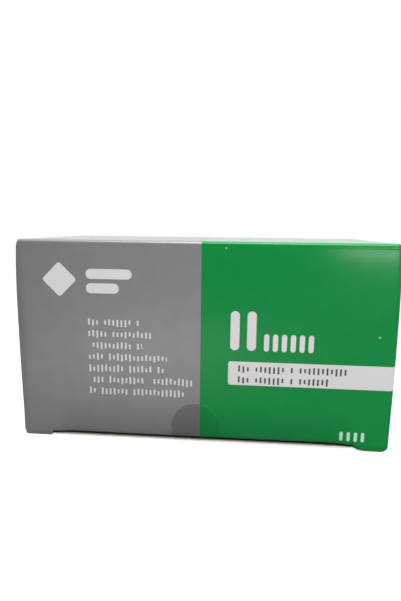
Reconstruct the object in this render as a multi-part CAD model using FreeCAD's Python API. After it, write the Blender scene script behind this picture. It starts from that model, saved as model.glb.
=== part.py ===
import FreeCAD, Part
import math
import os

# A sealed folding carton that holds a hundred pen needles. X is its width, Y its depth, Z its height.
# It stands on its base wall. The closing panel, here called the lid, faces the viewer at low Y: it hangs
# from a crease on the top wall, and its tuck flap goes in over the base wall. A clear round seal holds it.
# All sizes are millimetres.

# The carton as a whole
carton_width = 130.5        # outside the side walls, at the base and at the top
carton_depth = 65.0         # from the lid's face to the back flap's face
carton_height = 71.6
board = 0.45                # thickness of the folding board
left_bulge = 0.75           # how far the packed needles press the left wall out
left_fullest = 50.0         # and the height at which it stands out furthest
right_bulge = 0.4           # the same for the right wall
right_fullest = 35.8

# The folds
crease_radius = 1.0         # outside radius of a crease folded to a right angle
side_fold_radius = 0.6      # outside radius of the folds between the side walls and their dust flaps
fold_slack = 0.2            # these folds stay this much short of a full turn
top_edge_drop = 3.0         # the side walls roll inwards over this height, up to the top
top_edge_roll = 5.0         # radius of that roll
top_edge_radius = 0.6       # radius of the crease that ends it
seam_height = 1.4           # height of the left wall's cut edge, glued over a flap of the base wall
score_width = 0.5           # the groove that the creasing rule leaves beside a fold
score_depth = 0.08
score_offset = 0.45         # from the end of the fold's radius to the middle of its groove

# The lid, with slit locks at its two lower corners
lid_side_gap = 0.5          # from the lid's cut edge to the side wall's face
lid_corner_reach = 0.5      # relief cut at the lid's top corners, across
lid_corner_drop = 1.8       # and down
tab_lift = 0.04             # from the base to the lower edge of the corner tabs
left_tab_width = 9.9
left_tab_radius = 0.9       # outer lower corner of the left tab
right_tab_width = 7.55      # flat lower edge and outer corner, up to the foot of the curved slit
right_tab_radius = 2.0
slit_curve_length = 3.6     # how far the right slit's curved end runs
fold_set_back = 1.35        # height of the tuck fold above the base, at the left tab
fold_slant = 0.5            # how much higher it ends, at the right tab
gap_depth = 4.0             # how far the gap runs in between the tuck flap and the base wall

# Between the tabs, the tuck flap holds the base wall's front edge up a little
base_edge_rise = 0.25       # at the left tab. The edge then climbs beside the tuck fold
base_edge_slope = 0.05      # how fast the base wall comes down behind its edge, in mm for each mm

# The back, closed by a glued flap
flap_side_gap = 0.9
flap_edge_height = 1.8      # height of the flap's free edge
flap_corner_radius = 2.5

# The clear round seal, folded over the lid's lower edge and under the base
seal_diameter = 16.9
seal_across = -1.9          # its middle, from the carton's middle plane
seal_above_base = 6.2       # its middle, up the lid's face
seal_film = 0.06

half_width = carton_width / 2
half_depth = carton_depth / 2
lid_face = -half_depth
flap_face = half_depth
front_plane = lid_face + board
back_plane = flap_face - board
lid_half_width = half_width - lid_side_gap
fold_left = -lid_half_width + left_tab_width
fold_right = lid_half_width - right_tab_width - slit_curve_length
spare = carton_height       # how far a cutting tool reaches past the carton


def at(x, y, z):
    return FreeCAD.Vector(x, y, z)


def line(start, end):
    return Part.LineSegment(start, end).toShape()


def arc(start, middle, end):
    return Part.Arc(start, middle, end).toShape()


def curve(*points):
    bezier = Part.BezierCurve()
    bezier.setPoles(list(points))
    return bezier.toShape()


def polyline(*points):
    return [line(start, end) for start, end in zip(points, points[1:])]


def prism(edges, along):
    """A solid: the closed outline, carried along a vector."""
    return Part.Face(Part.Wire(edges)).extrude(along)


def bulge(side):
    """How far a side wall is pressed out, and at what height it is fullest."""
    return (left_bulge, left_fullest) if side < 0 else (right_bulge, right_fullest)


def wall_point(side, height):
    """A point of a side wall's outside, pressed out in two arcs that meet at its fullest height."""
    out, fullest = bulge(side)
    span = fullest if height < fullest else carton_height - fullest
    radius = (span ** 2 + out ** 2) / (2 * out)
    reach = half_width + out - radius + math.sqrt(radius ** 2 - (height - fullest) ** 2)
    return at(side * reach, 0, height)


def wall_arcs(side, start, end):
    """A side wall's outside from one height to another, past its fullest height."""
    fullest = bulge(side)[1]
    return [
        arc(*[wall_point(side, height) for height in (first, (first + last) / 2, last)])
        for first, last in ((start, fullest), (fullest, end))
    ]


def corner_outline(corner, first, second, radius):
    """The outline of what lies outside a rounded corner.

    corner is the sharp corner, and first and second are the outward directions of the faces that meet.
    """
    centre = corner - first * radius - second * radius
    on_first = corner - second * radius
    on_second = corner - first * radius
    middle = centre + (first + second) * (radius / math.sqrt(2))
    rounding = arc(on_second, middle, on_first)
    outside = polyline(
        on_first,
        on_first + first * radius,
        corner + first * radius + second * radius,
        on_second + second * radius,
        on_second,
    )
    return [rounding] + outside


def crease_waste(y, z, outward_y, outward_z):
    """What a crease running along X takes off the sharp edge at y, z."""
    corner = at(-spare * 2, y, z)
    outline = corner_outline(corner, at(0, outward_y, 0), at(0, 0, outward_z), crease_radius)
    return prism(outline, at(spare * 4, 0, 0))


def side_fold_waste(side, y, outward_y):
    """What the fold between a side wall and its dust flap takes off the sharp edge, in two pieces.

    The fold runs straight from the base to where the wall is fullest, and straight again to the top.
    """
    out, fullest = bulge(side)
    widest = at(side * (half_width + out + fold_slack), y, fullest)
    start = widest - at(0, 0, spare * 2)
    outline = corner_outline(start, at(side, 0, 0), at(0, outward_y, 0), side_fold_radius)
    pieces = []
    for height in (fullest, fullest - carton_height):
        piece = prism(outline, at(0, 0, spare * 4))
        piece.rotate(widest, at(0, side, 0), math.degrees(math.atan(out / height)))
        pieces.append(piece)
    return pieces


def score_groove(y, z, outward):
    """A shallow round groove along X, its middle at y, z on a panel that faces outward."""
    groove_radius = (score_width ** 2 / 4 + score_depth ** 2) / (2 * score_depth)
    centre = at(-spare * 2, y, z) + outward * (groove_radius - score_depth)
    return Part.makeCylinder(groove_radius, spare * 4, centre, at(1, 0, 0))


def top_edge(side):
    """The edge between a side wall and the top: the wall rolls inwards, and a tighter crease ends it.

    It gives five points, from the wall to the top: the roll is an arc through the first three of them,
    and the crease an arc through the last three.
    """
    roll_centre_z = carton_height - top_edge_drop
    roll_centre_x = abs(wall_point(side, roll_centre_z).x) - top_edge_roll
    turn = math.asin((top_edge_drop - top_edge_radius) / (top_edge_roll - top_edge_radius))
    crease_centre_x = roll_centre_x + (top_edge_roll - top_edge_radius) * math.cos(turn)
    crease_centre_z = carton_height - top_edge_radius

    def on_roll(angle):
        x = roll_centre_x + top_edge_roll * math.cos(angle)
        return at(side * x, 0, roll_centre_z + top_edge_roll * math.sin(angle))

    def on_crease(angle):
        x = crease_centre_x + top_edge_radius * math.cos(angle)
        return at(side * x, 0, crease_centre_z + top_edge_radius * math.sin(angle))

    quarter = math.pi / 2
    return [on_roll(0), on_roll(turn / 2), on_roll(turn), on_crease((turn + quarter) / 2), on_crease(quarter)]


def tube_outline():
    """The tube's outside, seen from the front, with the glued seam at the lower left."""
    left_top = top_edge(-1)
    right_top = top_edge(1)
    base_radius = crease_radius
    diagonal = base_radius * (1 - 1 / math.sqrt(2))
    right_foot = wall_point(1, base_radius)
    right_sole = at(right_foot.x - base_radius, 0, 0)
    right_bend = at(right_foot.x - diagonal, 0, diagonal)
    inner_left = -half_width + board
    left_foot = at(inner_left, 0, base_radius)
    left_sole = at(inner_left + base_radius, 0, 0)
    left_bend = at(inner_left + diagonal, 0, diagonal)
    seam_inside = at(inner_left, 0, seam_height)
    seam_outside = wall_point(-1, seam_height)
    return [
        *wall_arcs(-1, seam_height, left_top[0].z),
        arc(*left_top[:3]),
        arc(*left_top[2:]),
        line(left_top[4], right_top[4]),
        arc(*right_top[2:]),
        arc(*right_top[:3]),
        *wall_arcs(1, right_top[0].z, base_radius),
        arc(right_foot, right_bend, right_sole),
        line(right_sole, left_sole),
        arc(left_sole, left_bend, left_foot),
        line(left_foot, seam_inside),
        line(seam_inside, seam_outside),
    ]


def tube():
    """The tube with its dust flaps folded in, front and back, from plane to plane."""
    body = prism(tube_outline(), at(0, back_plane - front_plane, 0))
    body.translate(at(0, front_plane, 0))
    for side in (-1, 1):
        for plane, outward_y in ((front_plane, -1), (back_plane, 1)):
            for piece in side_fold_waste(side, plane, outward_y):
                body = body.cut(piece)
    return body.cut(crease_waste(back_plane, 0, 1, -1))


def lid_outline():
    """The lid's front face: relieved top corners, slit-locked tabs and the set-back fold between them."""
    left, right = -lid_half_width, lid_half_width
    top = carton_height
    foot = tab_lift
    slit_foot = fold_right + slit_curve_length
    slit_bend = slit_curve_length * 0.45
    fold_end = fold_set_back + fold_slant
    left_diagonal = left_tab_radius * (1 - 1 / math.sqrt(2))
    right_diagonal = right_tab_radius * (1 - 1 / math.sqrt(2))
    left_corner = arc(
        at(left, 0, foot + left_tab_radius),
        at(left + left_diagonal, 0, foot + left_diagonal),
        at(left + left_tab_radius, 0, foot),
    )
    right_corner = arc(
        at(right - right_tab_radius, 0, foot),
        at(right - right_diagonal, 0, foot + right_diagonal),
        at(right, 0, foot + right_tab_radius),
    )
    curved_slit = curve(
        at(fold_right, 0, fold_end),
        at(fold_right + slit_bend, 0, fold_end),
        at(slit_foot - slit_bend, 0, foot),
        at(slit_foot, 0, foot),
    )
    down_left = polyline(
        at(left + lid_corner_reach, 0, top),
        at(left, 0, top - lid_corner_drop),
        at(left, 0, foot + left_tab_radius),
    )
    to_fold = polyline(
        at(left + left_tab_radius, 0, foot),
        at(fold_left, 0, foot),
        at(fold_left, 0, fold_set_back),
        at(fold_right, 0, fold_end),
    )
    up_right = polyline(
        at(right, 0, foot + right_tab_radius),
        at(right, 0, top - lid_corner_drop),
        at(right - lid_corner_reach, 0, top),
        at(left + lid_corner_reach, 0, top),
    )
    right_foot = line(at(slit_foot, 0, foot), at(right - right_tab_radius, 0, foot))
    return down_left + [left_corner] + to_fold + [curved_slit, right_foot, right_corner] + up_right


def lid():
    panel = prism(lid_outline(), at(0, board, 0))
    panel.translate(at(0, lid_face, 0))
    return panel


def along_fold(length):
    """The way along the slanting tuck fold, as far as a length across."""
    return at(length, 0, length * fold_slant / (fold_right - fold_left))


def base_slope(length):
    """The way in from the base wall's raised front edge, as far as a length along Y."""
    return at(0, length, -length * base_edge_slope)


def below_base_edge():
    """The flat wedge of space under the base wall's raised front edge, between the tabs."""
    edge = at(fold_left, front_plane, base_edge_rise)
    inner = edge + base_slope((base_edge_rise + fold_slant) / base_edge_slope)
    down = at(0, 0, -base_edge_rise - fold_slant - board)
    return prism(polyline(edge, inner, inner + down, edge + down, edge), along_fold(fold_right - fold_left))


def tuck_gap():
    """The open space below the tuck fold and in between the tuck flap and the base wall."""
    diagonal = crease_radius * (1 - 1 / math.sqrt(2))
    fold_top = at(fold_left, lid_face, fold_set_back + crease_radius)
    fold_bend = at(fold_left, lid_face + diagonal, fold_set_back + diagonal)
    fold_sole = at(fold_left, lid_face + crease_radius, fold_set_back)
    base_edge = at(fold_left, front_plane, base_edge_rise + board)
    outline = [arc(fold_top, fold_bend, fold_sole)] + polyline(
        fold_sole,
        base_edge + base_slope(gap_depth),
        base_edge,
        at(fold_left, front_plane, -crease_radius),
        at(fold_left, lid_face - crease_radius, -crease_radius),
        at(fold_left, lid_face - crease_radius, fold_set_back + crease_radius),
        fold_top,
    )
    return prism(outline, along_fold(fold_right - fold_left))


def back_flap():
    """The glued flap that closes the back, hung from the top wall."""
    side = half_width - flap_side_gap
    foot = flap_edge_height
    radius = flap_corner_radius
    diagonal = radius * (1 - 1 / math.sqrt(2))
    outline = [
        line(at(-side, 0, carton_height), at(-side, 0, foot + radius)),
        arc(
            at(-side, 0, foot + radius),
            at(-side + diagonal, 0, foot + diagonal),
            at(-side + radius, 0, foot),
        ),
        line(at(-side + radius, 0, foot), at(side - radius, 0, foot)),
        arc(
            at(side - radius, 0, foot),
            at(side - diagonal, 0, foot + diagonal),
            at(side, 0, foot + radius),
        ),
        line(at(side, 0, foot + radius), at(side, 0, carton_height)),
        line(at(side, 0, carton_height), at(-side, 0, carton_height)),
    ]
    panel = prism(outline, at(0, board, 0))
    panel.translate(at(0, back_plane, 0))
    return panel


def seal_path():
    """The film's inner face at the seal's left side: down the lid, over the gap and under the base wall."""
    left = seal_across - seal_diameter / 2
    lift = along_fold(left - fold_left).z
    top = at(left, lid_face, seal_above_base + seal_diameter)
    # The film leaves the lid just above the fold, low enough for a straight run to clear its curve.
    leaves_lid = at(left, lid_face, lift + fold_set_back + crease_radius - board / 2)
    edge = at(left, front_plane, lift + base_edge_rise)
    return [top, leaves_lid, edge, edge + base_slope(seal_diameter / 2)]


def outer_side(path, distance):
    """The points of a path across X, moved to its outer side and mitred where it bends."""
    ways = [(end - start).normalize() for start, end in zip(path, path[1:])]
    sides = [at(0, way.z, -way.y) for way in ways]
    moved = []
    for point, before, after in zip(path, sides[:1] + sides, sides + sides[-1:]):
        moved.append(point + (before + after) * (distance / (1 + before.dot(after))))
    return moved


def seal_strip():
    """A folded strip of film, as wide as the seal and longer than it."""
    path = seal_path()
    outline = polyline(*path, *reversed(outer_side(path, seal_film)), path[0])
    return prism(outline, along_fold(seal_diameter))


def seal():
    """The folded strip, cut to the round outline as seen from the front and, unrolled, from below."""
    radius = seal_diameter / 2
    front_disc = Part.makeCylinder(
        radius, carton_depth, at(seal_across, lid_face - radius, seal_above_base), at(0, 1, 0))
    edge_height = base_edge_rise + along_fold(seal_across - fold_left).z
    unrolled = at(seal_across, front_plane + edge_height - seal_above_base, -radius)
    base_disc = Part.makeCylinder(radius, seal_diameter, unrolled, at(0, 0, 1))
    in_front = Part.makeBox(
        seal_diameter * 2, radius, carton_height,
        at(seal_across - seal_diameter, front_plane - radius, -radius))
    return seal_strip().common(front_disc).common(base_disc.fuse(in_front))


def carton():
    body = tube().fuse(lid()).fuse(back_flap())
    body = body.cut(crease_waste(lid_face, carton_height, -1, 1))
    body = body.cut(crease_waste(flap_face, carton_height, 1, 1))
    body = body.cut(tuck_gap())
    body = body.cut(below_base_edge())
    from_edge = crease_radius + score_offset
    for face, outward in ((lid_face, -1), (flap_face, 1)):
        body = body.cut(score_groove(face, carton_height - from_edge, at(0, outward, 0)))
        body = body.cut(score_groove(face - outward * from_edge, carton_height, at(0, 0, 1)))
    return body.removeSplitter()


def main():
    os.makedirs("parts", exist_ok=True)
    for name, shape in (("carton", carton()), ("seal", seal())):
        solid = shape.Solids[0]
        print(name, "solids", len(shape.Solids), "valid", solid.isValid(), "volume", round(solid.Volume, 2))
        solid.exportStep(f"parts/{name}.step")


main()
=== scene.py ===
import math

import bmesh
import bpy
from mathutils import Matrix, Vector


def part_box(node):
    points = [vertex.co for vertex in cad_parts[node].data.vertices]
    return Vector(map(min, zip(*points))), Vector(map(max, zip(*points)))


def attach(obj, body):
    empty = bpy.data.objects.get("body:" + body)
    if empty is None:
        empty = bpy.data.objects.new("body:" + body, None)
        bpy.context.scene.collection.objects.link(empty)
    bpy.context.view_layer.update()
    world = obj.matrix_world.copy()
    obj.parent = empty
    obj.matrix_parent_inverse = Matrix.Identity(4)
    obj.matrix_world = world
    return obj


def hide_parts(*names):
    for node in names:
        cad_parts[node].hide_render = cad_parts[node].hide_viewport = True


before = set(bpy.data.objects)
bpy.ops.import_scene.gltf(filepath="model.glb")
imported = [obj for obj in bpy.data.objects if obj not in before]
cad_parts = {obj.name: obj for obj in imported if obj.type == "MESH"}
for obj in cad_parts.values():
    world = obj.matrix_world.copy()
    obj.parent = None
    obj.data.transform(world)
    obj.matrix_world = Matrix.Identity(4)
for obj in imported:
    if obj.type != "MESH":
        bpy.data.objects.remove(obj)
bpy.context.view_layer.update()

# A sealed folding carton of pen needles, seen from the front and a little above.
# Everything is in metres, so a size in millimetres is written as a number times mm.
mm = 0.001
cartonLow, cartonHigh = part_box("carton")

# The board and its folds, shared by every panel
board = {
    "thickness": 0.45 * mm,
    "creaseRadius": 1.0 * mm,
    "creaseSteps": 6,
    "cutRounding": 0.15 * mm,       # the die leaves the printed side of a cut edge a little round
    "cutRoundingSteps": 2,
    "cutAngle": 60,                 # degrees: an edge that turns more than this is a cut edge
    "smoothUnder": 35,              # degrees: an edge that turns less than this is shaded smooth
    "scoreDepth": 0.03 * mm,
    "scoreHalfWidth": 0.25 * mm,
    "scoreFromEdge": 1.45 * mm,     # from the panel's outside to the middle of the groove
    "leftBulge": 0.75 * mm,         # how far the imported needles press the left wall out
    "leftFullest": 50.0 * mm,       # and the height at which it stands out furthest
    "rightBulge": 0.4 * mm,
    "rightFullest": 35.8 * mm,
}
halfWidth = cartonHigh.x - board["rightBulge"]
lidFace = -cartonHigh.y
backFace = cartonHigh.y
top = cartonHigh.z
frontPlane = lidFace + board["thickness"]
backPlane = backFace - board["thickness"]
everywhere = (-1.0, 1.0)
hair = 0.001 * mm                   # what lies closer than this counts as in place
pastHair = 2 * hair                 # this far past a line, the line's own points are left out
sameWay = 0.9                       # two directions with a larger cosine count as the same
print("frame loaded, carton box", [round(side / mm, 2) for side in cartonHigh - cartonLow])


def startPiece():
    if bpy.context.object and bpy.context.object.mode != "OBJECT":
        bpy.ops.object.mode_set(mode="OBJECT")
    bpy.ops.object.select_all(action="DESELECT")


def choose(kind, x=everywhere, y=everywhere, z=everywhere, facing=None):
    # Selects what lies wholly inside the three ranges, and for faces what looks along facing
    bpy.ops.mesh.select_mode(type=kind)
    bpy.ops.mesh.select_all(action="DESELECT")
    mesh = bmesh.from_edit_mesh(bpy.context.object.data)
    parts = {"VERT": mesh.verts, "EDGE": mesh.edges, "FACE": mesh.faces}[kind]
    for part in parts:
        points = [part.co] if kind == "VERT" else [corner.co for corner in part.verts]
        held = all(low - hair <= point[axis] <= high + hair
                   for point in points for axis, (low, high) in enumerate((x, y, z)))
        if held and facing is not None:
            held = part.normal.dot(Vector(facing)) > sameWay
        if held:
            part.select_set(True)
    bmesh.update_edit_mesh(bpy.context.object.data)


def pull(across, along, up):
    bpy.ops.mesh.extrude_region_move(TRANSFORM_OT_translate={"value": (across, along, up)})


def shift(across, along, up):
    bpy.ops.transform.translate(value=(across, along, up))


def cut(axis, place):
    # Bisects what is selected, square to an axis
    point, normal = [0, 0, 0], [0, 0, 0]
    point[axis], normal[axis] = place, 1
    bpy.ops.mesh.bisect(plane_co=point, plane_no=normal, threshold=hair)


def cutAll(axis, places):
    for place in places:
        bpy.ops.mesh.select_all(action="SELECT")
        cut(axis, place)


def evenly(low, high, count):
    return [low + (high - low) * step / (count + 1) for step in range(1, count + 1)]


def nudge(rule):
    # Moves each selected point by what the rule gives for its place
    mesh = bmesh.from_edit_mesh(bpy.context.object.data)
    for corner in mesh.verts:
        if corner.select:
            corner.co += Vector(rule(*corner.co))
    bmesh.update_edit_mesh(bpy.context.object.data)


def eased(share):
    # 0 to 1 with a soft start and a soft end
    share = min(1, max(0, share))
    return share * share * (3 - 2 * share)


def turnAbout(centre, axis, degrees, steps):
    # Spin turns left-handed about its axis, so the axis is reversed here
    bpy.ops.mesh.spin(
        steps=steps, angle=math.radians(degrees), center=centre, axis=[-part for part in axis])


def applied(piece, kind, **settings):
    modifier = piece.modifiers.new(kind.title(), kind)
    for name, value in settings.items():
        setattr(modifier, name, value)
    bpy.context.view_layer.objects.active = piece
    bpy.ops.object.modifier_apply(modifier=modifier.name)


def paint(piece, material):
    # Gives the selected faces one of the piece's materials
    piece.active_material_index = piece.data.materials.find(material.name)
    bpy.ops.object.material_slot_assign()


def settle(piece, name):
    # Puts the piece's place into its mesh and shades its rounded creases smooth
    startPiece()
    piece.name = name
    piece.data.name = name
    bpy.context.view_layer.objects.active = piece
    piece.select_set(True)
    bpy.ops.object.transform_apply(location=True, rotation=True, scale=True)
    bpy.ops.object.shade_smooth_by_angle(angle=math.radians(board["smoothUnder"]))
    print(name, "faces", len(piece.data.polygons))
    return piece


def srgb(code):
    levels = [int(code[place:place + 2], 16) / 255 for place in (1, 3, 5)]
    return [level / 12.92 if level <= 0.04045 else ((level + 0.055) / 1.055) ** 2.4 for level in levels]


def colour(code):
    return (*srgb(code), 1.0)


def addNode(tree, kind, inputs=None, **settings):
    node = tree.nodes.new(kind)
    for name, value in settings.items():
        setattr(node, name, value)
    for name, value in (inputs or {}).items():
        if isinstance(value, bpy.types.NodeSocket):
            tree.links.new(value, node.inputs[name])
        else:
            node.inputs[name].default_value = value
    return node


def newMaterial(name):
    material = bpy.data.materials.new(name)
    material.use_nodes = True
    tree = material.node_tree
    tree.nodes.clear()
    output = addNode(tree, "ShaderNodeOutputMaterial")
    return material, tree, output


# Printed cartonboard: offset ink on coated board, under a thin satin varnish. The grey half is a
# silver-grey pigment ink, so it brightens where light glances off it. The green half is plain and
# glossier. All places are millimetres in the carton's frame: x from its middle, z from its base
prints = {
    "grey": "#8b898c",
    "green": "#0d843e",
    "white": "#d8d5d6",
    "dark": "#4c484d",
    "paleGreen": "#b9e3c8",
    # Under the seal the grey is darker, as the film wets the silver ink. The green is a painted lift:
    # lighter than the green ink, to cancel the shade that the film casts on it
    "greyUnderSeal": "#7d7b7e",
    "greenUnderSeal": "#0f9247",
    "silverShare": 0.5,             # of the grey ink that shines as metal
    "greyRoughness": 0.48,
    "greenRoughness": 0.22,
    "inkIor": 1.45,
    "inkGloss": 0.08,               # specular level of the ink itself
    "varnishRoughness": 0.16,
    "varnishIor": 1.25,
    "mottlesPerMm": 0.16,           # the ink's slow unevenness
    "mottleRange": (0.3, 0.7),      # the part of the noise that makes
    "mottleLevels": (0.97, 1.03),   # these levels of the ink's colour
    "noiseDetail": 3.0,
    "grainsPerMm": 1.6,             # the board's fine grain
    "grainStrength": 0.25,
    "grainDepth": 0.02 * mm,
    "splitAt": -0.3,                # where grey meets green
    "edge": 0.07,                   # how soft an ink edge is
    "roundEnd": 0.98,               # a bar's corner radius, as a share of half its width
    "leanRoom": 0.8,                # the front's print reaches this far behind the lid's flat inside
    "emblem": {"middle": (-49.9, 57.9), "half": (4.4, 4.4), "corner": 1.0},
    "nameBars": [
        {"middle": (-32.3, 60.0), "half": (8.1, 1.75), "corner": 1.715},
        {"middle": (-34.6, 55.0), "half": (5.8, 1.75), "corner": 1.715},
    ],
    "lineLeft": -40.4,
    "lineRights": (-21.8, -16.9, -20.8, -12.0, -13.0, -3.1, -4.1),
    "firstLine": 43.0,
    "linePitch": 4.17,
    "dashPitch": 1.45,
    "tallBars": {"lefts": (10.0, 15.7), "width": 3.1, "low": 34.6, "high": 48.3},
    "shortBars": {"lefts": (21.5, 24.5, 27.5, 30.5, 33.5, 36.5), "width": 1.75, "low": 34.5, "high": 40.6},
    "strip": {"left": 9.55, "right": 117.5, "low": 22.22, "high": 30.62, "corner": 0.8},
    "stripBackLimit": 29.25,        # y at which it ends on the right side, short of the back
    "stripLines": [
        {"left": 12.5, "right": 49.6, "middle": 28.0},
        {"left": 12.5, "right": 44.4, "middle": 24.1},
    ],
    "stripLinePitch": 3.2,
    "stripDashPitch": 1.5,
    "countBars": {"lefts": (48.6, 51.0, 53.4, 55.8), "width": 1.1, "low": 3.35, "high": 6.75},
    "specks": [                     # where the ink has rubbed off
        {"middle": (8.0, 69.5), "half": (0.22, 0.2), "corner": 0.18},
        {"middle": (59.7, 40.6), "half": (0.4, 0.16), "corner": 0.14},
    ],
    "seal": {"middle": (-1.9, 6.2), "lowerCorner": 3.5, "radius": 8.45},
}

# The rows of small upright dashes, of uneven height and with gaps
dash = {
    "halfHeights": (0.75, 1.3),     # of the shortest and the tallest
    "picks": (0.2, 0.8),            # chances under and over these give the shortest and the tallest
    "lifts": (0.44, 0.56),          # where a dash's middle lies, as a share of its line's height
    "halfWidths": (0.14, 0.28),     # as a share of its place: solid up to the first, gone at the second
    "softness": 0.03,
    "emptyShare": 0.13,             # of places left empty
    "roomCorner": 0.01,             # a row ends in a sharp upright edge
    "roomEdge": 0.005,
}


def roundedBox(tree, flat, middle, half, corner, soft):
    # 1 inside a rounded rectangle of ink, 0 outside, from its signed distance
    offset = addNode(tree, "ShaderNodeVectorMath", {0: flat, 1: (*middle, 0)}, operation="SUBTRACT")
    folded = addNode(tree, "ShaderNodeVectorMath", {0: offset.outputs[0]}, operation="ABSOLUTE")
    inner = (half[0] - corner, half[1] - corner, 1)
    past = addNode(tree, "ShaderNodeVectorMath", {0: folded.outputs[0], 1: inner}, operation="SUBTRACT")
    outer = addNode(tree, "ShaderNodeVectorMath", {0: past.outputs[0], 1: (0, 0, 0)}, operation="MAXIMUM")
    length = addNode(tree, "ShaderNodeVectorMath", {0: outer.outputs[0]}, operation="LENGTH")
    return addNode(tree, "ShaderNodeMapRange", {
        "Value": length.outputs["Value"], "From Min": corner - soft, "From Max": corner + soft,
        "To Min": 1.0, "To Max": 0.0}).outputs[0]


def inkBox(tree, flat, shape):
    return roundedBox(tree, flat, shape["middle"], shape["half"], shape["corner"], prints["edge"])


def boxFromEdges(tree, flat, left, right, low, high, corner):
    half = ((right - left) / 2, (high - low) / 2)
    return roundedBox(tree, flat, (left + half[0], low + half[1]), half, corner, prints["edge"])


def inAny(tree, masks):
    total = masks[0]
    for mask in masks[1:]:
        total = addNode(tree, "ShaderNodeMath", {0: total, 1: mask}, operation="MAXIMUM").outputs[0]
    return total


def inAll(tree, masks):
    # A plain number among the masks scales what they leave
    total = masks[0]
    for mask in masks[1:]:
        total = addNode(tree, "ShaderNodeMath", {0: total, 1: mask}, operation="MULTIPLY").outputs[0]
    return total


def dashes(tree, flat, left, first, pitch, linePitch):
    # Each cell of a grid holds one dash, or none
    moved = addNode(tree, "ShaderNodeVectorMath", {0: flat, 1: (left, first + linePitch / 2, 0)},
                    operation="SUBTRACT")
    cells = addNode(tree, "ShaderNodeVectorMath",
                    {0: moved.outputs[0], 1: (1 / pitch, -1 / linePitch, 1)}, operation="MULTIPLY")
    index = addNode(tree, "ShaderNodeVectorMath", {0: cells.outputs[0]}, operation="FLOOR")
    within = addNode(tree, "ShaderNodeVectorMath", {0: cells.outputs[0]}, operation="FRACTION")
    chance = addNode(tree, "ShaderNodeTexWhiteNoise", {"Vector": index.outputs[0]}, noise_dimensions="3D")
    pick = addNode(tree, "ShaderNodeSeparateColor", {"Color": chance.outputs["Color"]})
    spot = addNode(tree, "ShaderNodeSeparateXYZ", {0: within.outputs[0]})
    height = addNode(tree, "ShaderNodeMapRange", {
        "Value": pick.outputs[0], "From Min": dash["picks"][0], "From Max": dash["picks"][1],
        "To Min": dash["halfHeights"][0] / linePitch, "To Max": dash["halfHeights"][1] / linePitch})
    lift = addNode(tree, "ShaderNodeMapRange", {
        "Value": pick.outputs[1], "To Min": dash["lifts"][0], "To Max": dash["lifts"][1]})
    above = addNode(tree, "ShaderNodeMath", {
        0: spot.outputs[1], 1: lift.outputs[0]}, operation="SUBTRACT")
    away = addNode(tree, "ShaderNodeMath", {0: above.outputs[0]}, operation="ABSOLUTE")
    room = addNode(tree, "ShaderNodeMath", {
        0: height.outputs[0], 1: away.outputs[0]}, operation="SUBTRACT")
    tall = addNode(tree, "ShaderNodeMapRange", {
        "Value": room.outputs[0], "From Min": -dash["softness"], "From Max": dash["softness"]})
    cellMiddle = 0.5
    aside = addNode(tree, "ShaderNodeMath", {0: spot.outputs[0], 1: cellMiddle}, operation="SUBTRACT")
    sideways = addNode(tree, "ShaderNodeMath", {0: aside.outputs[0]}, operation="ABSOLUTE")
    wide = addNode(tree, "ShaderNodeMapRange", {
        "Value": sideways.outputs[0],
        "From Min": dash["halfWidths"][0], "From Max": dash["halfWidths"][1],
        "To Min": 1.0, "To Max": 0.0})
    inked = addNode(tree, "ShaderNodeMath", {0: pick.outputs[2], 1: dash["emptyShare"]},
                    operation="GREATER_THAN")
    return inAll(tree, [tall.outputs[0], wide.outputs[0], inked.outputs[0]])


def lineRoom(tree, flat, left, right, middle, height):
    # The box that one row of dashes fills
    half = ((right - left) / 2, height / 2)
    return roundedBox(
        tree, flat, (left + half[0], middle), half, dash["roomCorner"], dash["roomEdge"])


def greyLines(tree, flat):
    left, first, pitch = prints["lineLeft"], prints["firstLine"], prints["linePitch"]
    rooms = [lineRoom(tree, flat, left, right, first - row * pitch, pitch)
             for row, right in enumerate(prints["lineRights"])]
    return inAll(tree, [inAny(tree, rooms), dashes(tree, flat, left, first, prints["dashPitch"], pitch)])


def stripLines(tree, flat):
    lines = []
    for line in prints["stripLines"]:
        left, middle, pitch = line["left"], line["middle"], prints["stripLinePitch"]
        lines.append(inAll(tree, [
            lineRoom(tree, flat, left, line["right"], middle, pitch),
            dashes(tree, flat, left, middle, prints["stripDashPitch"], pitch)]))
    return inAny(tree, lines)


def bars(tree, flat, group):
    corner = group["width"] / 2 * prints["roundEnd"]
    return inAny(tree, [
        boxFromEdges(tree, flat, left, left + group["width"], group["low"], group["high"], corner)
        for left in group["lefts"]])


def emblemMask(tree, flat):
    # A plain rounded diamond, which is a square turned by an eighth
    emblem = prints["emblem"]
    turned = addNode(tree, "ShaderNodeVectorRotate", {
        "Vector": flat, "Center": (*emblem["middle"], 0), "Angle": math.tau / 8},
        rotation_type="Z_AXIS")
    return inkBox(tree, turned.outputs[0], emblem)


def stripMask(tree, place):
    # The strip runs on round the right edge, so it is drawn on the distance round the carton
    around = addNode(tree, "ShaderNodeMath", {
        0: place.outputs[0], 1: place.outputs[1]}, operation="ADD")
    unrolled = addNode(tree, "ShaderNodeMath", {0: around.outputs[0], 1: -lidFace / mm}, operation="ADD")
    wrapped = addNode(tree, "ShaderNodeCombineXYZ", {0: unrolled.outputs[0], 1: place.outputs[2]})
    beforeBack = addNode(tree, "ShaderNodeMath", {
        0: place.outputs[1], 1: prints["stripBackLimit"]}, operation="LESS_THAN")
    return inAll(tree, [boxFromEdges(tree, wrapped.outputs[0], **prints["strip"]), beforeBack.outputs[0]])


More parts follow.
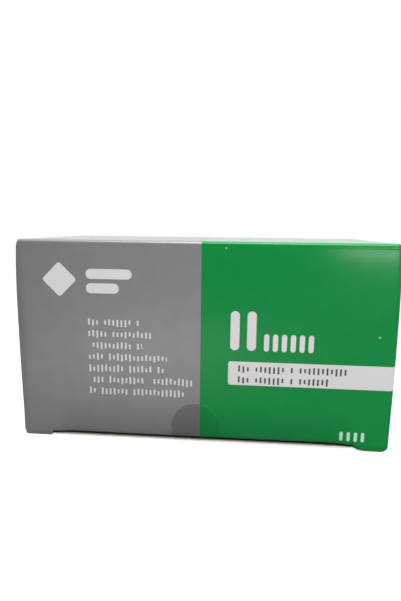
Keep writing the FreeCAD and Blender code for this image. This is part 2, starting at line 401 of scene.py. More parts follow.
def sealMask(tree, flat):
    # A disc, and the squarer box that its lower half fills
    shape = prints["seal"]
    across, up = shape["middle"]
    radius = shape["radius"]
    reach = addNode(tree, "ShaderNodeVectorMath", {0: flat, 1: (across, up, 0)}, operation="DISTANCE")
    disc = addNode(tree, "ShaderNodeMapRange", {
        "Value": reach.outputs["Value"], "From Min": radius - prints["edge"], "From Max": radius,
        "To Min": 1.0, "To Max": 0.0})
    lowerHalf = boxFromEdges(
        tree, flat, across - radius, across + radius, up - radius, up, shape["lowerCorner"])
    return inAny(tree, [disc.outputs[0], lowerHalf])


def printMasks(tree, place):
    flat = addNode(tree, "ShaderNodeCombineXYZ", {0: place.outputs[0], 1: place.outputs[2]}).outputs[0]
    split = addNode(tree, "ShaderNodeMapRange", {
        "Value": place.outputs[0], "From Min": prints["splitAt"] - prints["edge"],
        "From Max": prints["splitAt"] + prints["edge"]}).outputs[0]
    # The lid's face, as far back as it leans, and the strips of dust flap beside it
    front = addNode(tree, "ShaderNodeMath", {
        0: place.outputs[1], 1: frontPlane / mm + prints["leanRoom"]}, operation="LESS_THAN").outputs[0]
    whites = [emblemMask(tree, flat), greyLines(tree, flat)]
    whites += [inkBox(tree, flat, shape) for shape in prints["nameBars"] + prints["specks"]]
    whites += [bars(tree, flat, prints[group]) for group in ("tallBars", "shortBars")]
    return {
        "split": split,
        "white": inAll(tree, [inAny(tree, whites), front]),
        "strip": stripMask(tree, place),
        "dark": inAll(tree, [stripLines(tree, flat), front]),
        "paleGreen": inAll(tree, [bars(tree, flat, prints["countBars"]), front]),
        "sealed": inAll(tree, [sealMask(tree, flat), front]),
    }


def makePrintedBoard():
    material, tree, output = newMaterial("printedCartonboard")
    coordinates = addNode(tree, "ShaderNodeTexCoord")
    inMm = addNode(tree, "ShaderNodeVectorMath", {0: coordinates.outputs["Object"], "Scale": 1 / mm},
                   operation="SCALE").outputs[0]
    masks = printMasks(tree, addNode(tree, "ShaderNodeSeparateXYZ", {0: inMm}))
    pale = inAny(tree, [masks["white"], masks["strip"]])

    # Under the seal the grey darkens where the film wets it; the green is painted lighter to cancel the
    # film's shade
    halves = [addNode(tree, "ShaderNodeMix", {
        0: masks["sealed"], 6: colour(prints[half]), 7: colour(prints[half + "UnderSeal"])},
        data_type="RGBA").outputs[2] for half in ("grey", "green")]
    ink = addNode(tree, "ShaderNodeMix", {0: masks["split"], 6: halves[0], 7: halves[1]},
                  data_type="RGBA").outputs[2]
    mottle = addNode(tree, "ShaderNodeTexNoise", {
        "Vector": inMm, "Scale": prints["mottlesPerMm"], "Detail": prints["noiseDetail"]})
    mottleLevel = addNode(tree, "ShaderNodeMapRange", {
        "Value": mottle.outputs[0],
        "From Min": prints["mottleRange"][0], "From Max": prints["mottleRange"][1],
        "To Min": prints["mottleLevels"][0], "To Max": prints["mottleLevels"][1]})
    ink = addNode(tree, "ShaderNodeVectorMath", {0: ink, "Scale": mottleLevel.outputs[0]},
                  operation="SCALE").outputs[0]
    for mask, code in ((pale, "white"), (masks["dark"], "dark"), (masks["paleGreen"], "paleGreen")):
        ink = addNode(tree, "ShaderNodeMix", {0: mask, 6: ink, 7: colour(prints[code])},
                      data_type="RGBA").outputs[2]

    # Silver pigment shows only in plain grey, clear of the white print and of the seal
    clearOf = [addNode(tree, "ShaderNodeMath", {0: 1.0, 1: mask}, operation="SUBTRACT").outputs[0]
               for mask in (masks["split"], pale, masks["sealed"])]
    metallic = inAll(tree, clearOf + [prints["silverShare"]])
    roughness = addNode(tree, "ShaderNodeMix", {
        0: masks["split"], 2: prints["greyRoughness"], 3: prints["greenRoughness"]},
        data_type="FLOAT").outputs[0]
    grain = addNode(tree, "ShaderNodeTexNoise", {
        "Vector": inMm, "Scale": prints["grainsPerMm"], "Detail": prints["noiseDetail"]})
    bump = addNode(tree, "ShaderNodeBump", {
        "Height": grain.outputs[0], "Strength": prints["grainStrength"], "Distance": prints["grainDepth"]})
    # The coat is the thin varnish: weak when seen straight on, and a mirror at a grazing angle
    shader = addNode(tree, "ShaderNodeBsdfPrincipled", {
        "Base Color": ink, "Metallic": metallic, "Roughness": roughness,
        "IOR": prints["inkIor"], "Specular IOR Level": prints["inkGloss"], "Normal": bump.outputs[0],
        "Coat Weight": 1.0, "Coat Roughness": prints["varnishRoughness"],
        "Coat IOR": prints["varnishIor"]})
    tree.links.new(shader.outputs[0], output.inputs[0])
    return material


# The board's cut edge is pressed paper pulp: near-white, matt and slightly hairy.
# The faces inside the tuck slot take a dark grey-brown pulp tone: painted shade that deepens the tuck gap
rawBoard = {
    "edge": ("#d9d6cf", "#f3f1ec"),
    # painted shade: the dark tones of the tuck slot's faces
    "inside": ("#6e675e", "#8a8378"),
    "fibresPerMm": (0.8, 6.0, 6.0), # long from left to right
    "fibreDetail": 4.0,
    "fibreStrength": 0.5,
    "fibreDepth": 0.05 * mm,
    "roughness": 0.9,
    "ior": 1.45,
    "gloss": 0.2,                   # specular level
}


def makeRawBoard(name, tones):
    material, tree, output = newMaterial(name)
    coordinates = addNode(tree, "ShaderNodeTexCoord")
    inMm = addNode(tree, "ShaderNodeVectorMath", {0: coordinates.outputs["Object"], "Scale": 1 / mm},
                   operation="SCALE").outputs[0]
    plies = addNode(tree, "ShaderNodeMapping", {"Vector": inMm, "Scale": rawBoard["fibresPerMm"]})
    fibres = addNode(tree, "ShaderNodeTexNoise", {
        "Vector": plies.outputs[0], "Scale": 1.0, "Detail": rawBoard["fibreDetail"]})
    tone = addNode(tree, "ShaderNodeMix", {
        0: fibres.outputs[0], 6: colour(tones[0]), 7: colour(tones[1])}, data_type="RGBA").outputs[2]
    bump = addNode(tree, "ShaderNodeBump", {
        "Height": fibres.outputs[0], "Strength": rawBoard["fibreStrength"],
        "Distance": rawBoard["fibreDepth"]})
    shader = addNode(tree, "ShaderNodeBsdfPrincipled", {
        "Base Color": tone, "Roughness": rawBoard["roughness"], "IOR": rawBoard["ior"],
        "Specular IOR Level": rawBoard["gloss"], "Normal": bump.outputs[0]})
    tree.links.new(shader.outputs[0], output.inputs[0])
    return material


# Clear polypropylene seal: glass-clear film with a hard gloss, so it shows by its edge and its glints
film = {
    "thickness": 0.06 * mm,
    "clearance": 0.01 * mm,         # between the film's inside and the lid
    "tint": "#fdfefd",
    "gloss": "#c9d2cc",
    # painted glint: the milky tone of the film's cut edge
    "edgeGlint": "#9da6a0",
    "ior": 1.49,
    "rimIor": 1.06,                 # how soon the film turns from clear to glossy towards a grazing view
    "roughness": 0.1,
    "edgeRoughness": 0.3,
}


def makeClearFilm():
    material, tree, output = newMaterial("clearFilm")
    through = addNode(tree, "ShaderNodeBsdfTransparent", {"Color": colour(film["tint"])})
    gloss = addNode(tree, "ShaderNodeBsdfPrincipled", {
        "Base Color": colour(film["gloss"]), "Roughness": film["roughness"], "IOR": film["ior"]})
    rim = addNode(tree, "ShaderNodeFresnel", {"IOR": film["rimIor"]})
    shader = addNode(tree, "ShaderNodeMixShader", {
        0: rim.outputs[0], 1: through.outputs[0], 2: gloss.outputs[0]})
    tree.links.new(shader.outputs[0], output.inputs[0])
    return material


def makeFilmEdgeGlint():
    # The cut edge is a painted glint: a milky grey that stands for the light running inside the film and
    # gathering at its edge
    material, tree, output = newMaterial("filmEdgeGlint")
    shader = addNode(tree, "ShaderNodeBsdfPrincipled", {
        "Base Color": colour(film["edgeGlint"]), "Roughness": film["edgeRoughness"], "IOR": film["ior"]})
    tree.links.new(shader.outputs[0], output.inputs[0])
    return material


printedBoard = makePrintedBoard()
boardEdge = makeRawBoard("rawBoardEdge", rawBoard["edge"])
boardGapShade = makeRawBoard("rawBoardGapShade", rawBoard["inside"])
clearFilm = makeClearFilm()
filmEdgeGlint = makeFilmEdgeGlint()
print("materials ready")


# The tube: side walls, top and base in one strip, with the dust flaps folded in at front and back
tube = {
    "wallSteps": 7,
    "rollDrop": 3.0 * mm,           # the side walls roll inwards over this height, up to the top
    "rollRadius": 5.0 * mm,
    "rollSteps": 4,
    "edgeRadius": 0.6 * mm,
    "seamHeight": 1.4 * mm,         # the left wall's cut edge, glued over a flap of the base
    "rightSoleRadius": 2.2 * mm,    # the wall turns softly into the base
    "foldRadius": 0.5 * mm,
    "foldSteps": 5,
    "sinkDepth": 0.3 * mm,          # the dust flaps lie this much under the folds of lid and back flap
    "sinkHeight": 1.0 * mm,         # all that is this close to the top sinks
    "sinkSideGap": 2.2 * mm,        # but not what is this close to the sides
    "slotDepth": 4.0 * mm,          # the opening that the tuck flap goes into
    "slotTop": 15.0 * mm,           # above it, the lid lies on the dust flaps
    "slotMargin": 1.0 * mm,         # its side walls lie this close to the ends of the tuck fold
    "cutsAcross": 15,
    "cutsAlong": 7,
    "baseEdgeRise": 0.25 * mm,      # the base wall's front edge, at the left tab
    "baseEdgeSlope": 0.05,          # how fast the base wall comes down behind it
    "behindTab": 1.5 * mm,          # the edge rises over this width, behind each tab
}

# The lid and its tuck flap
lid = {
    "sideGap": 0.5 * mm,            # from its cut edge to the side wall
    "cornerReach": 0.5 * mm,        # relief at its top corners, across and down
    "cornerDrop": 1.8 * mm,
    "tabLift": 0.04 * mm,
    "leftTabWidth": 9.9 * mm,
    "leftTabRadius": 0.9 * mm,
    "rightTabWidth": 7.55 * mm,
    "rightTabRadius": 2.0 * mm,
    "tabSteps": 6,                  # in the round corner of a tab
    "slitCurveLength": 3.6 * mm,
    "slitCurveSteps": 8,
    "foldSetBack": 1.2 * mm,        # height of the tuck fold above the base, at the left tab
    "foldSlant": 0.5 * mm,          # how much higher it ends, at the right tab
    "columns": 52,
    "rows": 28,
    "curlHeight": 12.0 * mm,        # over this height the lid leans in towards its tuck fold
    "curlDepth": 1.0 * mm,
    "curlEnds": 8.0 * mm,           # the lean dies out over this width towards each tab
    "topLean": 0.08 * mm,           # the lid leans back this far at its top right corner
    "topLeanHeight": 7.0 * mm,      # over this height
    "waveDepth": 0.15 * mm,         # the board isn't quite flat
    "waveWidth": 34.0 * mm,
}
lidSide = halfWidth - lid["sideGap"]
foldLeft = -lidSide + lid["leftTabWidth"]
foldRight = lidSide - lid["rightTabWidth"] - lid["slitCurveLength"]


def foldLift(across):
    # The tuck fold and the base wall's edge both climb from the left tab to the right one
    return lid["foldSlant"] * (across - foldLeft) / (foldRight - foldLeft)


def wallArc(side, height):
    # Centre and radius of the arc that a side wall follows, below or above its fullest height
    bulge, fullest = (board["leftBulge"], board["leftFullest"]) if side < 0 else (
        board["rightBulge"], board["rightFullest"])
    span = fullest if height < fullest else top - fullest
    radius = (span ** 2 + bulge ** 2) / (2 * bulge)
    return halfWidth + bulge - radius, fullest, radius


def wallReach(side, height):
    # Half the width at a height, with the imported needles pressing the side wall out
    centre, fullest, radius = wallArc(side, height)
    return centre + math.sqrt(radius ** 2 - (height - fullest) ** 2)


def walkWall(side, start, end):
    # Two arcs, which meet where the wall is fullest
    fullest = wallArc(side, start)[1]
    for low, high in [(start, fullest), (fullest, end)][::-side]:
        centre, middle, radius = wallArc(side, (low + high) / 2)
        turn = math.asin((high - middle) / radius) - math.asin((low - middle) / radius)
        turnAbout((side * centre, frontPlane, middle), (0, 1, 0), math.degrees(turn), tube["wallSteps"])


def topEdge(side):
    # Centre of the tight crease that ends the wall's inward roll, and how far the roll turns
    roll, edge = tube["rollRadius"], tube["edgeRadius"]
    turn = math.asin((tube["rollDrop"] - edge) / (roll - edge))
    rollCentre = wallReach(side, top - tube["rollDrop"]) - roll
    return rollCentre, rollCentre + (roll - edge) * math.cos(turn), math.degrees(turn)


def walkTopEdge(side):
    # On the left the roll comes first, on the right the crease
    rollCentre, edgeCentre, turn = topEdge(side)
    arcs = [(rollCentre, top - tube["rollDrop"], turn), (edgeCentre, top - tube["edgeRadius"], 90 - turn)]
    for centre, height, degrees in arcs[::-side]:
        turnAbout((side * centre, frontPlane, height), (0, 1, 0), degrees, tube["rollSteps"])


def walkTubeOutline():
    # Walks a single point round the outline, from the seam up the left wall and back to the seam
    fold = board["creaseRadius"]
    walkWall(-1, tube["seamHeight"], top - tube["rollDrop"])
    walkTopEdge(-1)
    pull(topEdge(-1)[1] + topEdge(1)[1], 0, 0)
    walkTopEdge(1)
    walkWall(1, tube["rightSoleRadius"], top - tube["rollDrop"])
    rightSole = wallReach(1, tube["rightSoleRadius"]) - tube["rightSoleRadius"]
    turnAbout((rightSole, frontPlane, tube["rightSoleRadius"]), (0, 1, 0), 90, tube["rollSteps"])
    leftSole = -halfWidth + board["thickness"] + fold
    pull(leftSole - rightSole, 0, 0)
    turnAbout((leftSole, frontPlane, fold), (0, 1, 0), 90, tube["rollSteps"])
    pull(0, 0, tube["seamHeight"] - fold)


def openTuckSlot():
    # The opening above the base wall's front edge that the tuck flap goes into
    across = (foldLeft - tube["behindTab"] / 2, foldRight + tube["behindTab"] / 2)
    up = (board["thickness"], tube["slotTop"])
    for axis, place, within in (
            (2, up[0], everywhere), (2, up[1], everywhere), (0, across[0], up), (0, across[1], up)):
        choose("FACE", y=(frontPlane, frontPlane), z=within)
        cut(axis, place)
    choose("FACE", x=across, y=(frontPlane, frontPlane), z=up)
    pull(0, tube["slotDepth"], 0)


def sinkUnderFolds():
    # Leaves room at the top's front and back for the creases of the lid and the back flap
    reach = halfWidth - tube["sinkSideGap"]
    foldEnd = backFace - board["scoreFromEdge"] - lid["topLean"]
    cutAll(0, (-reach, reach))
    cutAll(1, (-foldEnd, foldEnd))
    for along in ((frontPlane, -foldEnd - pastHair), (foldEnd + pastHair, backPlane)):
        choose("VERT", x=(-reach, reach), y=along, z=(top - tube["sinkHeight"], top))
        shift(0, 0, -tube["sinkDepth"])


def liftBaseEdge():
    # Between the tabs, the tuck flap holds the base wall's front edge up a little
    def lift(across, along, up):
        fromTab = min(across - foldLeft, foldRight - across) / tube["behindTab"] + 1
        rise = tube["baseEdgeRise"] + foldLift(across) - tube["baseEdgeSlope"] * (along - frontPlane)
        return 0, 0, max(0, rise) * eased(fromTab)

    choose("VERT", y=(frontPlane, 0), z=(0, board["thickness"]))
    nudge(lift)


def paintTube(piece):
    # The cut edges show the raw board, and the tuck slot is painted dark as painted shade in the gap
    for material in (printedBoard, boardEdge, boardGapShade):
        piece.data.materials.append(material)
    across = (foldLeft - tube["slotMargin"], foldRight + tube["slotMargin"])
    along = (frontPlane, frontPlane + tube["slotDepth"])
    choose("FACE", x=across, y=along, z=(board["thickness"] / 2, tube["slotTop"]))
    paint(piece, boardGapShade)
    baseEdgeTop = board["thickness"] + tube["baseEdgeRise"] + lid["foldSlant"]
    choose("FACE", y=(frontPlane, frontPlane), z=(0, baseEdgeTop))
    paint(piece, boardEdge)
    choose("FACE", z=(tube["seamHeight"], tube["seamHeight"]), facing=(0, 0, -1))
    paint(piece, boardEdge)


def makeTube():
    startPiece()
    bpy.ops.mesh.primitive_plane_add(
        size=mm, location=(-wallReach(-1, tube["seamHeight"]), frontPlane, tube["seamHeight"]))
    piece = bpy.context.object
    bpy.ops.object.transform_apply(location=True, rotation=True, scale=True)
    bpy.ops.object.mode_set(mode="EDIT")
    bpy.ops.mesh.select_mode(type="VERT")
    bpy.ops.mesh.select_all(action="SELECT")
    bpy.ops.mesh.merge(type="CENTER")
    bpy.ops.mesh.select_all(action="SELECT")
    walkTubeOutline()
    bpy.ops.mesh.select_all(action="SELECT")
    bpy.ops.mesh.edge_face_add()
    pull(0, backPlane - frontPlane, 0)
    bpy.ops.mesh.select_all(action="SELECT")
    bpy.ops.mesh.normals_make_consistent(inside=False)
    for plane, low in ((frontPlane, tube["rightSoleRadius"]), (backPlane, tube["seamHeight"])):
        choose("EDGE", y=(plane, plane), z=(low, top))
        bpy.ops.transform.edge_bevelweight(value=1)
    bpy.ops.object.mode_set(mode="OBJECT")
    applied(piece, "BEVEL", limit_method="WEIGHT", width=tube["foldRadius"], segments=tube["foldSteps"],
            use_clamp_overlap=False)
    bpy.ops.object.mode_set(mode="EDIT")
    sinkUnderFolds()
    openTuckSlot()
    cutAll(0, evenly(-halfWidth, halfWidth, tube["cutsAcross"]))
    cutAll(0, (foldLeft - tube["behindTab"], foldLeft, foldRight, foldRight + tube["behindTab"]))
    cutAll(1, evenly(lidFace, backFace, tube["cutsAlong"]))
    liftBaseEdge()
    paintTube(piece)
    return settle(piece, "carton_tube")


def makePanel(side, halfAcross, low, columns, rows):
    # A flat panel on the front (side -1) or the back (side 1), scored and creased over the top edge
    face = side * backFace
    scoreAt = top - board["scoreFromEdge"]
    high = scoreAt - board["scoreHalfWidth"]
    startPiece()
    bpy.ops.mesh.primitive_grid_add(
        x_subdivisions=columns, y_subdivisions=rows, size=mm,
        location=(0, face, (low + high) / 2), rotation=(-side * math.pi / 2, 0, 0))
    piece = bpy.context.object
    bpy.ops.object.transform_apply(location=False, rotation=True, scale=True)
    bpy.ops.transform.resize(value=(halfAcross * 2 / mm, 1, (high - low) / mm))
    bpy.ops.object.transform_apply(location=True, rotation=True, scale=True)
    bpy.ops.object.mode_set(mode="EDIT")
    cutAll(2, (high - board["scoreHalfWidth"],))
    choose("EDGE", z=(high, high))
    pull(0, -side * board["scoreDepth"], board["scoreHalfWidth"])
    pull(0, side * board["scoreDepth"], board["scoreHalfWidth"])
    fold = board["creaseRadius"]
    pull(0, 0, top - fold - scoreAt - board["scoreHalfWidth"])
    turnAbout((0, face - side * fold, top - fold), (1, 0, 0), side * 90, board["creaseSteps"])
    pull(0, -side * (board["scoreFromEdge"] - board["scoreHalfWidth"] - fold), 0)
    pull(0, -side * board["scoreHalfWidth"], -board["scoreDepth"])
    return piece


def finishPanel(piece, name):
    bpy.ops.object.mode_set(mode="OBJECT")
    piece.data.materials.append(printedBoard)
    piece.data.materials.append(boardEdge)
    applied(piece, "SOLIDIFY", thickness=board["thickness"], offset=-1, use_even_offset=True,
            material_offset=1, material_offset_rim=1)
    applied(piece, "BEVEL", limit_method="ANGLE", angle_limit=math.radians(board["cutAngle"]),
            width=board["cutRounding"], segments=board["cutRoundingSteps"], material=0)
    return settle(piece, name)


def relieveCorners(halfAcross):
    # Tapers the panel's upper corners, row by row
    drop, reach = lid["cornerDrop"], lid["cornerReach"]
    edgeSlack = 5 * hair
    mesh = bmesh.from_edit_mesh(bpy.context.object.data)
    rows = sorted({round(corner.co.z / hair) for corner in mesh.verts if corner.co.z > top - drop - hair})
    for row in rows:
        height = row * hair
        inwards = reach * min(1, (height - top + drop) / drop)
        for side in (-1, 1):
            outer = sorted((side * halfAcross, side * (halfAcross - edgeSlack)))
            choose("VERT", x=outer, z=(height - hair, height + hair))
            shift(-side * inwards, 0, 0)


def foldTuckFlap(foldTop):
    # The tuck flap, rolled under between the two tabs, along a fold that climbs to the right
    fold = board["creaseRadius"]
    choose("EDGE", x=(foldLeft, foldRight), z=(foldTop, foldTop))
    turnAbout((0, lidFace + fold, foldTop), (1, 0, 0), 90, board["creaseSteps"])
    run = tube["slotDepth"] + board["thickness"] - fold
    baseFall = tube["baseEdgeSlope"] * tube["slotDepth"]
    drop = foldTop - fold - board["thickness"] - tube["baseEdgeRise"] + baseFall
    pull(0, run, -drop)
    choose("VERT", x=(foldLeft, foldRight), z=(0, foldTop))
    nudge(lambda across, along, up: (0, 0, foldLift(across)))


def hangTabs(foldTop):
    # The two tabs that stay flat. The right one starts at a curved slit
    foot = lid["tabLift"]
    for across in ((-lidSide, foldLeft), (foldRight, lidSide)):
        choose("EDGE", x=across, y=(lidFace, lidFace), z=(foldTop, foldTop + lid["foldSlant"]))
        pull(0, 0, foot - foldTop)
    choose("VERT", x=(foldRight, foldRight), y=(lidFace, lidFace), z=(foot, foot + lid["foldSlant"]))
    shift(0, 0, -lid["foldSlant"])
    steps = lid["slitCurveSteps"]
    for step in range(1, steps + 1):
        choose("FACE", x=(foldRight, lidSide), y=(lidFace, lidFace), z=(0, foldTop + lid["foldSlant"]))
        cut(0, foldRight + lid["slitCurveLength"] * step / steps)
    rise = lid["foldSetBack"] + lid["foldSlant"] - foot
    choose("VERT", x=(foldRight, foldRight + lid["slitCurveLength"]), z=(foot, foot))
    nudge(lambda across, along, up: (
        0, 0, rise * (1 - eased((across - foldRight) / lid["slitCurveLength"]))))
    for corner, radius in ((-lidSide, lid["leftTabRadius"]), (lidSide, lid["rightTabRadius"])):
        choose("VERT", x=(corner, corner), z=(foot, foot))
        bpy.ops.mesh.bevel(offset=radius, offset_type="OFFSET", segments=lid["tabSteps"],
                           affect="VERTICES", clamp_overlap=False)


def leanIn(across, along, up):
    # The lid leans in towards its tuck fold, but not where the tabs hold it flat
    fromTab = min(across - foldLeft, foldRight - across) / lid["curlEnds"]
    low = min(1, max(0, 1 - (up - lid["foldSetBack"]) / lid["curlHeight"]))
    return 0, lid["curlDepth"] * low ** 2 * eased(fromTab), 0


def leanBack(across, along, up):
    height = top - lid["topLeanHeight"]
    share = min(1, (up - height) / (lid["topLeanHeight"] - board["creaseRadius"]))
    return 0, lid["topLean"] * share ** 2 * eased(across / lidSide), 0


def makeLid():
    foldTop = lid["foldSetBack"] + board["creaseRadius"]
    piece = makePanel(-1, lidSide, foldTop, lid["columns"], lid["rows"])
    relieveCorners(lidSide)
    choose("VERT", x=(0, lidSide), z=(top - lid["topLeanHeight"], top))
    nudge(leanBack)
    cutAll(0, (foldLeft, foldRight))
    foldTuckFlap(foldTop)
    hangTabs(foldTop)
    choose("VERT", x=(foldLeft, foldRight), z=(0, top / 2))
    nudge(leanIn)
    bpy.ops.object.mode_set(mode="OBJECT")
    waves = bpy.data.textures.new("boardWaves", "CLOUDS")
    waves.noise_scale = lid["waveWidth"]
    waves.noise_depth = 1
    applied(piece, "DISPLACE", texture=waves, texture_coords="LOCAL", direction="Y",
            strength=lid["waveDepth"], mid_level=0.0)
    return finishPanel(piece, "carton_lid")


# The glued flap that closes the back
flap = {
    "sideGap": 0.9 * mm,
    "edgeHeight": 1.8 * mm,
    "cornerRadius": 2.5 * mm,
    "cornerSteps": 6,
    "columns": 26,
    "rows": 14,
}


def makeFlap():
    side = halfWidth - flap["sideGap"]
    low = flap["edgeHeight"]
    piece = makePanel(1, side, low, flap["columns"], flap["rows"])
    for corner in (-side, side):
        choose("VERT", x=(corner, corner), z=(low, low))
        bpy.ops.mesh.bevel(offset=flap["cornerRadius"], offset_type="OFFSET",
                           segments=flap["cornerSteps"], affect="VERTICES", clamp_overlap=False)
    return finishPanel(piece, "carton_back_flap")


# The clear seal: a flat disc of film, squarer below its middle, folded over the lid's lower edge
# and under the base
seal = {"points": 96, "curveSteps": 8}


def foldFilm(place, degrees):
    # Cuts the film along a level line and folds what lies below it in, about that line
    bpy.ops.mesh.select_all(action="SELECT")
    cut(2, place[1])
    choose("VERT", z=(everywhere[0], place[1] - pastHair))
    bpy.ops.transform.rotate(
        value=-math.radians(degrees), orient_axis="X", center_override=(0, *place))


def sealSide(depth):
    # Half the seal's width at a depth under its middle: straight sides, then round corners
    radius, corner = prints["seal"]["radius"] * mm, prints["seal"]["lowerCorner"] * mm
    past = max(0, depth - (radius - corner))
    return radius - corner + math.sqrt(max(0, corner ** 2 - past ** 2))


def makeSeal():
    outer = lidFace - film["thickness"] - film["clearance"]
    across, up = [part * mm for part in prints["seal"]["middle"]]
    radius = prints["seal"]["radius"] * mm
    startPiece()
    bpy.ops.mesh.primitive_circle_add(
        vertices=seal["points"], radius=radius, fill_type="NGON",
        location=(across, outer, up), rotation=(math.pi / 2, 0, 0))
    piece = bpy.context.object
    bpy.ops.object.transform_apply(location=True, rotation=True, scale=True)
    bpy.ops.object.mode_set(mode="EDIT")
    choose("VERT", z=(up - radius, up))
    nudge(lambda x, y, z: (across - x + math.copysign(sealSide(up - z), x - across), 0, 0))
    upperFold = foldLift(across) + lid["foldSetBack"] + board["creaseRadius"] - board["thickness"] / 2
    lowerFold = foldLift(across) + tube["baseEdgeRise"] - film["thickness"]
    cutAll(2, evenly(upperFold, up + radius, seal["curveSteps"]))
    cutAll(2, [upperFold])
    choose("VERT", z=(upperFold, up + radius))
    nudge(leanIn)
    inward = leanIn(across, outer, upperFold)[1]
    choose("VERT", z=(everywhere[0], upperFold - pastHair))
    shift(0, inward, 0)
    edge = outer + board["thickness"]
    lean = math.atan2(edge - outer - inward, upperFold - lowerFold)
    slope = math.atan(tube["baseEdgeSlope"])
    foldFilm((outer + inward, upperFold), math.degrees(lean))
    foldFilm((edge, lowerFold), math.degrees(math.pi / 2 - lean - slope))
    bpy.ops.object.mode_set(mode="OBJECT")
    piece.data.materials.append(clearFilm)
    piece.data.materials.append(filmEdgeGlint)
    applied(piece, "SOLIDIFY", thickness=film["thickness"], offset=-1, use_even_offset=True,
            material_offset_rim=1)
    return settle(piece, "seal_film")


tubePiece = makeTube()
lidPiece = makeLid()
flapPiece = makeFlap()
sealPiece = makeSeal()
for piece in (tubePiece, lidPiece, flapPiece):
    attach(piece, "root")
    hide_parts("carton")
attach(sealPiece, "root")
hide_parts("seal")


# The floor and the plain white surroundings
stage = {
    "floorSize": 6.0,
    "floorDrop": 0.02 * mm,
    "floorPaper": "#808080",
    "floorGlow": 0.93,              # lifts the lit floor to plain white for the camera alone
    "floorMirrored": 0.03,          # glow that only glossy and clear surfaces see on the floor
    "brightMirrored": 2.0,          # and its level in one soft round patch in front of the carton,
    "brightest": (-0.038, -0.17),   # about this point of the floor
    "brightReach": 0.12,            # and as far as this: the silver ink takes its soft glow from it
    "fillInFront": 0.22,            # the room's light on the object, from in front of it
    "fillBehind": 0.5,              # and from behind it
    "roomInFront": 0.25,            # how bright a glossy surface sees the room, in front
    "roomBehind": 0.85,             # and behind
    "frontToBehind": (-0.6, 0.2),   # the first turns into the second between these, along the room's y
}


def makeFloor():
    startPiece()
    bpy.ops.mesh.primitive_plane_add(size=stage["floorSize"], location=(0, 0, -stage["floorDrop"]))
    floor = bpy.context.object
    floor.name = "floor"
    material, tree, output = newMaterial("whiteFloor")
    ray = addNode(tree, "ShaderNodeLightPath")
    mirrored = inAny(tree, [ray.outputs["Is Glossy Ray"], ray.outputs["Is Transmission Ray"]])
    coordinates = addNode(tree, "ShaderNodeTexCoord")
    reach = addNode(tree, "ShaderNodeVectorMath", {
        0: coordinates.outputs["Object"], 1: (*stage["brightest"], 0)}, operation="DISTANCE")
    shine = addNode(tree, "ShaderNodeMapRange", {
        "Value": reach.outputs["Value"], "From Max": stage["brightReach"],
        "To Min": stage["brightMirrored"], "To Max": stage["floorMirrored"]})
    toCamera = inAll(tree, [ray.outputs["Is Camera Ray"], stage["floorGlow"]])
    toGloss = inAll(tree, [mirrored, shine.outputs[0]])
    seen = addNode(tree, "ShaderNodeMath", {0: toCamera, 1: toGloss}, operation="ADD").outputs[0]
    paper = addNode(tree, "ShaderNodeBsdfDiffuse", {"Color": colour(stage["floorPaper"])})
    glow = addNode(tree, "ShaderNodeEmission", {"Color": colour("#ffffff"), "Strength": seen})
    shader = addNode(tree, "ShaderNodeAddShader", {0: paper.outputs[0], 1: glow.outputs[0]})
    tree.links.new(shader.outputs[0], output.inputs[0])
    floor.data.materials.append(material)


def makeWorld():
    world = bpy.data.worlds.new("whiteRoom")
    bpy.context.scene.world = world
    world.use_nodes = True
    tree = world.node_tree
    tree.nodes.clear()
    output = addNode(tree, "ShaderNodeOutputWorld")
    ray = addNode(tree, "ShaderNodeLightPath")
    mirrored = inAny(tree, [ray.outputs["Is Glossy Ray"], ray.outputs["Is Transmission Ray"]])
    coordinates = addNode(tree, "ShaderNodeTexCoord")
    way = addNode(tree, "ShaderNodeSeparateXYZ", {0: coordinates.outputs["Generated"]})
    fill, room = [addNode(tree, "ShaderNodeMapRange", {
        "Value": way.outputs[1], "From Min": stage["frontToBehind"][0],
        "From Max": stage["frontToBehind"][1], "To Min": stage[kind + "InFront"],
        "To Max": stage[kind + "Behind"]}).outputs[0] for kind in ("fill", "room")]
    unseen = addNode(tree, "ShaderNodeMix", {0: mirrored, 2: fill, 3: room}, data_type="FLOAT")
    level = addNode(tree, "ShaderNodeMix", {
        0: ray.outputs["Is Camera Ray"], 2: unseen.outputs[0], 3: 1.0}, data_type="FLOAT").outputs[0]
    light = addNode(tree, "ShaderNodeBackground", {"Color": colour("#ffffff"), "Strength": level})
    tree.links.new(light.outputs[0], output.inputs[0])


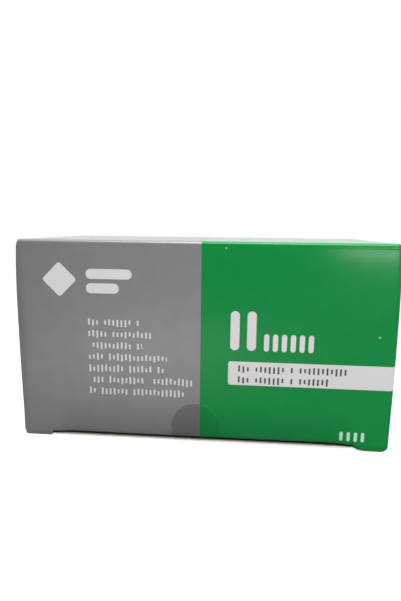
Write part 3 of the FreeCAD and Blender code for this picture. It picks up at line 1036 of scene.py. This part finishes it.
# A high soft lamp in front shines down along the front panel. A low one at the front right shines back
# from the varnish at the top right, and is wholly lower than the carton's top, so that it leaves no
# glare there from behind. A weak sun almost overhead lights the floor and the top
lamps = [
    {"name": "aboveFront", "place": (0.08, -0.2, 0.46), "aim": (0.05, -0.06, 0),
     "size": (0.36, 0.26), "power": 3.72},
    {"name": "lowWindow", "place": (0.27, -0.56, 0.058), "aim": (0.04, -0.03, 0.058),
     "size": (0.22, 0.025), "power": 0.34},
]
sun = {"place": (0.05, 0.18, 1.0), "aim": (0, 0, 0), "strength": 0.5, "degreesWide": 10}


def aimed(light, place, aim):
    bpy.context.scene.collection.objects.link(light)
    light.location = place
    light.rotation_euler = (Vector(aim) - Vector(place)).to_track_quat("-Z", "Y").to_euler()


def makeLamp(lamp):
    data = bpy.data.lights.new(lamp["name"], "AREA")
    data.shape = "RECTANGLE"
    data.size, data.size_y = lamp["size"]
    data.energy = lamp["power"]
    aimed(bpy.data.objects.new(lamp["name"], data), lamp["place"], lamp["aim"])


def makeSun():
    data = bpy.data.lights.new("sun", "SUN")
    data.energy = sun["strength"]
    data.angle = math.radians(sun["degreesWide"])
    aimed(bpy.data.objects.new("sun", data), sun["place"], sun["aim"])


# The camera stands in front, a little right of the middle and just above the carton's top
view = {
    "place": (13.3 * mm, -184.7 * mm, 76.5 * mm),
    "turnLeft": 5.15,               # these three are degrees
    "lookDown": 9.23,
    "roll": 0.63,
    "focal": 27.24,                 # millimetres, as is the sensor along the picture's long side
    "sensor": 36.0,
    "nearest": 5 * mm,
}


def makeCamera():
    data = bpy.data.cameras.new("camera")
    data.lens = view["focal"]
    data.sensor_width = view["sensor"]
    data.sensor_fit = "AUTO"
    data.clip_start = view["nearest"]
    camera = bpy.data.objects.new("camera", data)
    bpy.context.scene.collection.objects.link(camera)
    turn = Matrix.Rotation(math.radians(view["turnLeft"]), 4, "Z")
    tilt = Matrix.Rotation(math.radians(90 - view["lookDown"]), 4, "X")
    roll = Matrix.Rotation(math.radians(view["roll"]), 4, "Z")
    camera.matrix_world = Matrix.Translation(view["place"]) @ turn @ tilt @ roll
    bpy.context.scene.camera = camera


makeFloor()
makeWorld()
for lamp in lamps:
    makeLamp(lamp)
makeSun()
makeCamera()
bpy.context.scene.view_settings.view_transform = "Standard"
print("floor, lamps and camera ready")
